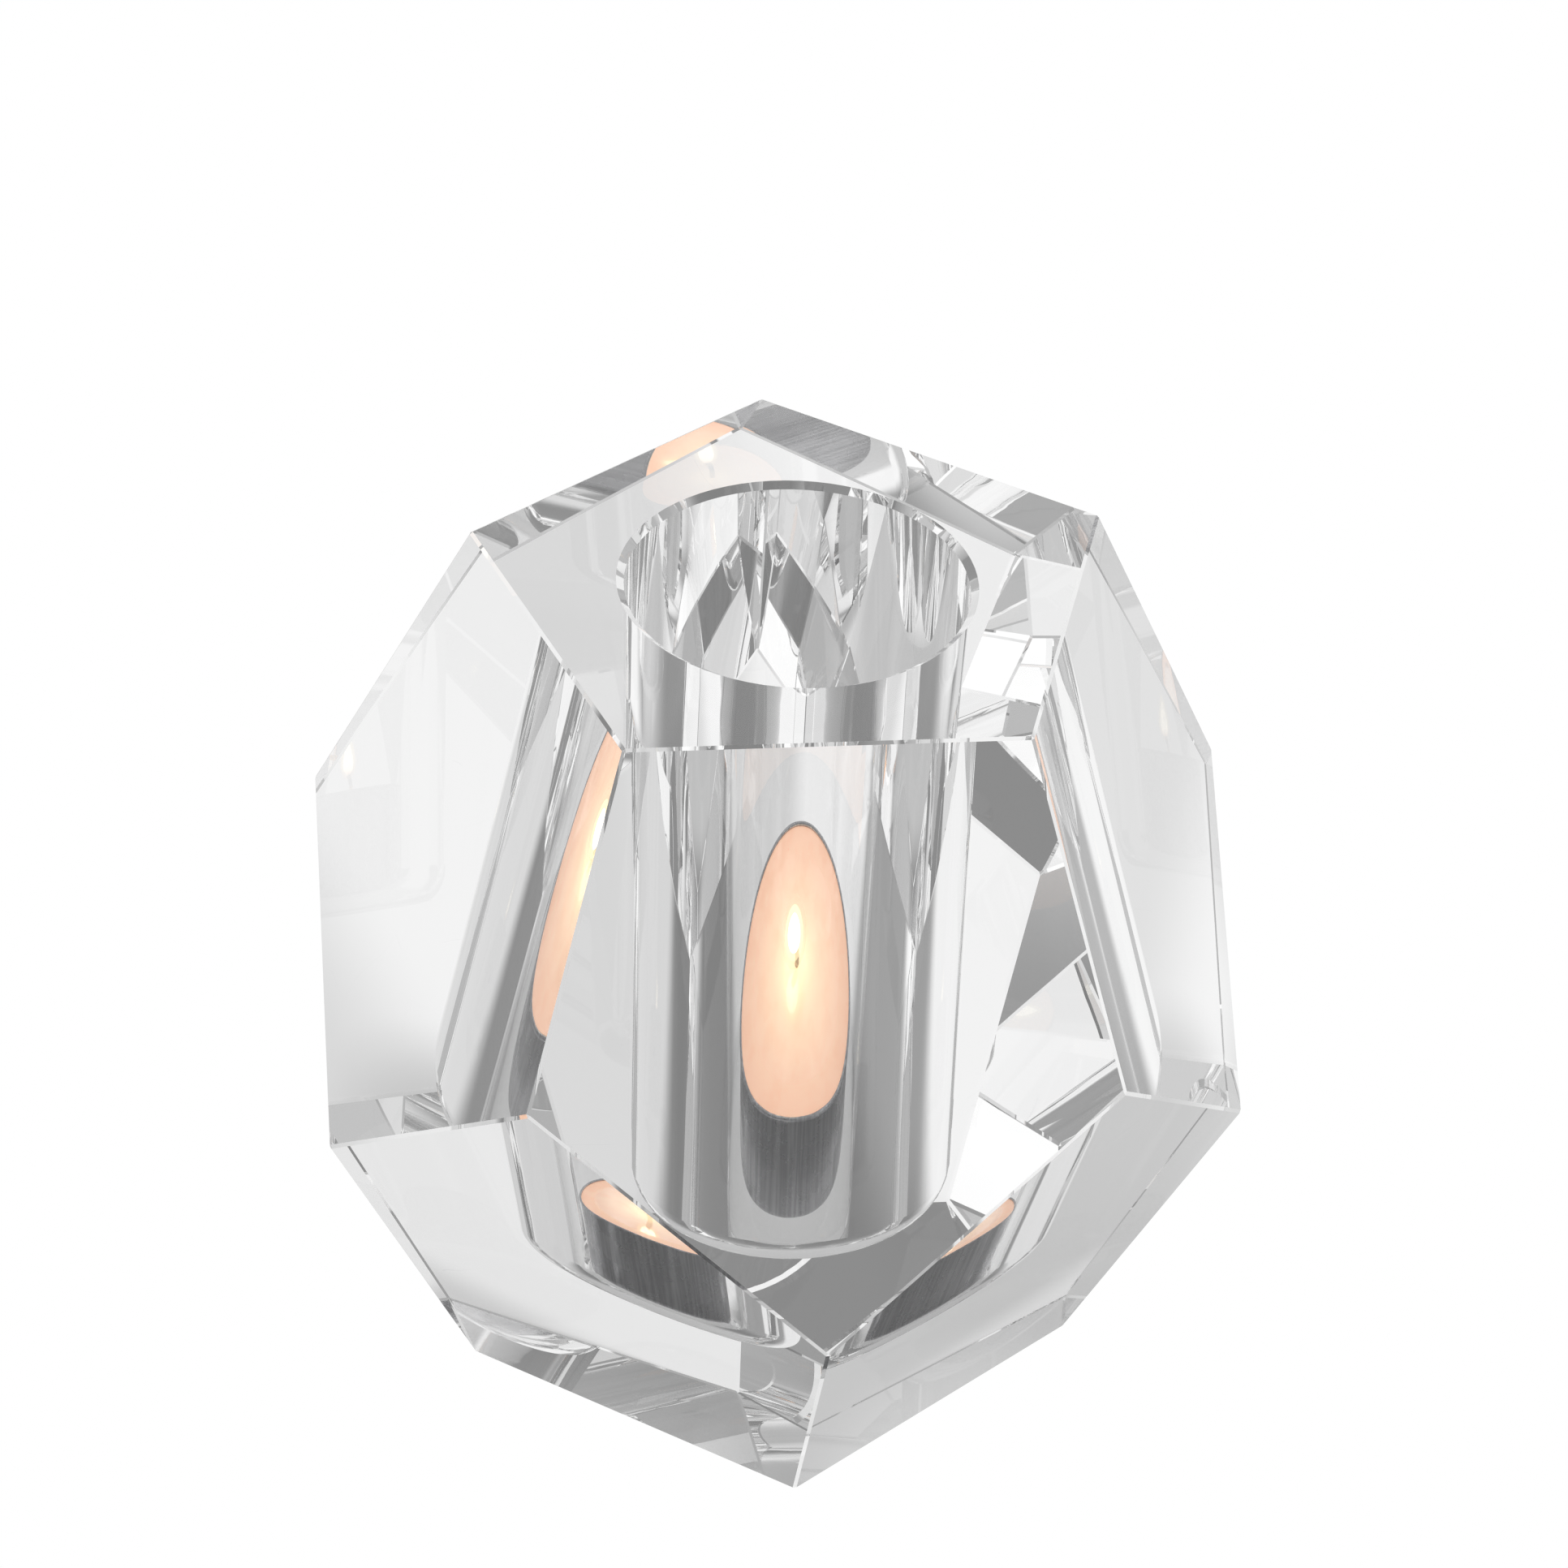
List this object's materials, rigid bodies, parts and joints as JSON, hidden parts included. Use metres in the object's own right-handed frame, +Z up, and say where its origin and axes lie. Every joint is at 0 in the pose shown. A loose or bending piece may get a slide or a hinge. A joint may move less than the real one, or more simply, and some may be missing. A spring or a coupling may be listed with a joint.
{
  "type": "tealight holder",
  "caption": "Block of clear crystal cut to flat facets leaning in and out like a dodecahedron, with a deep round bore that holds a lit tealight.",
  "frame": {"origin": "centre of the base facet, on the axis of the bore", "axes": "+Z up along the bore, -Y out of one of the five upper facets, +X to the right of it"},
  "size_m": [0.1338, 0.1408, 0.13],
  "materials": {
    "crystal": "clear, polished",
    "cup_aluminium": "bright rolled sheet",
    "candle_wax": "molten and glossy on top, soft and waxy below",
    "wick_cotton": "braided cotton, burnt at the tip",
    "tinned_steel": "dull tin plate"
  },
  "bodies": {
    "holder": {"crystal_block": "crystal"},
    "tealight": {"tealight_cup": "cup_aluminium", "wax": "candle_wax", "wick": "wick_cotton", "wick_foot": "tinned_steel"}
  },
  "joints": [
    {"name": "tealight_lift", "type": "slide", "parent": "holder", "child": "tealight", "axis": [0, 0, 1], "range_m": [0, 0.11]}
  ]
}
